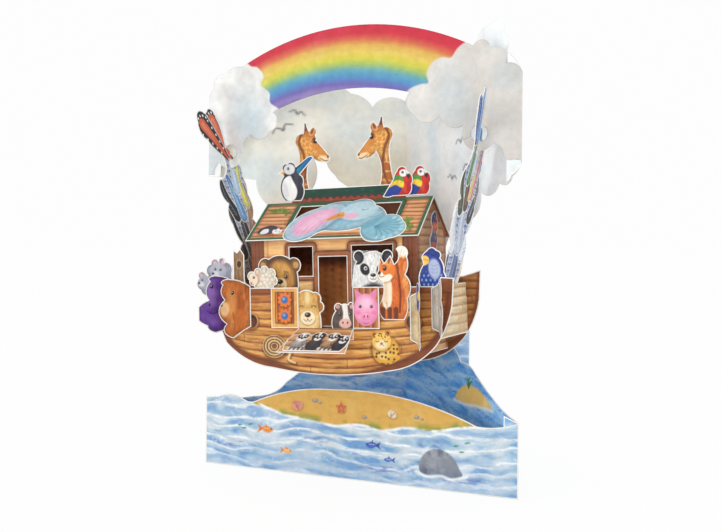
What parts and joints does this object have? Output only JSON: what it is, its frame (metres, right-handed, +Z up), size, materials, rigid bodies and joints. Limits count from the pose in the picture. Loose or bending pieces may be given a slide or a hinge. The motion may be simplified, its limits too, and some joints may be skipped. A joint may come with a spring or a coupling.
{
  "type": "swing card",
  "caption": "Open die-cut greeting card: a folded card frame of sea, sky and rainbow with a card ark hung in two rings so that it swings.",
  "frame": {"origin": "on the table, at the middle of the front sheet's foot", "axes": "+X along the front sheet to the right, +Y towards the spine at the back, +Z up"},
  "size_m": [0.186, 0.1463, 0.2475],
  "materials": {
    "sky_print": "satin",
    "sea_print": "satin",
    "wall_print": "satin",
    "strut_print": "satin",
    "hull_print": "satin",
    "cabin_print": "satin",
    "roof_print": "satin",
    "fin_print": "satin",
    "gate_print": "satin",
    "ramp_print": "satin",
    "feather_print": "satin",
    "figure_print": "satin"
  },
  "bodies": {
    "frame": {"front_arch": "sky_print", "front_sea": "sea_print", "rear_wall": "wall_print", "strut": "strut_print"},
    "ark": {"hull_front": "hull_print", "hull_rear": "hull_print", "deck_front_left": "hull_print", "deck_front_right": "hull_print", "deck_rear": "hull_print", "cabin": "cabin_print", "roof": "roof_print", "ridge_fin": "fin_print", "gate_left": "gate_print", "gate_right": "gate_print", "ramp": "ramp_print", "left_arm": "feather_print", "right_arm": "feather_print", "bear": "figure_print", "panda": "figure_print", "sheep": "figure_print", "dog": "figure_print", "calf": "figure_print", "trunk": "figure_print", "mice": "figure_print", "fox": "figure_print", "blue_bird": "figure_print", "hippo": "figure_print", "cub": "figure_print", "crane": "figure_print", "hare": "figure_print", "goose": "figure_print", "gable_birds": "figure_print", "giraffe_left": "figure_print", "giraffe_right": "figure_print", "magpie": "figure_print", "red_bird_front": "figure_print", "red_bird_back": "figure_print", "family": "figure_print"}
  },
  "joints": [
    {"name": "ark_swing", "type": "hinge", "parent": "frame", "child": "ark", "pos_m": [-0.004, 0, 0.1788], "axis": [0.9994, 0, 0.0349], "range_deg": [-8, 4]}
  ]
}
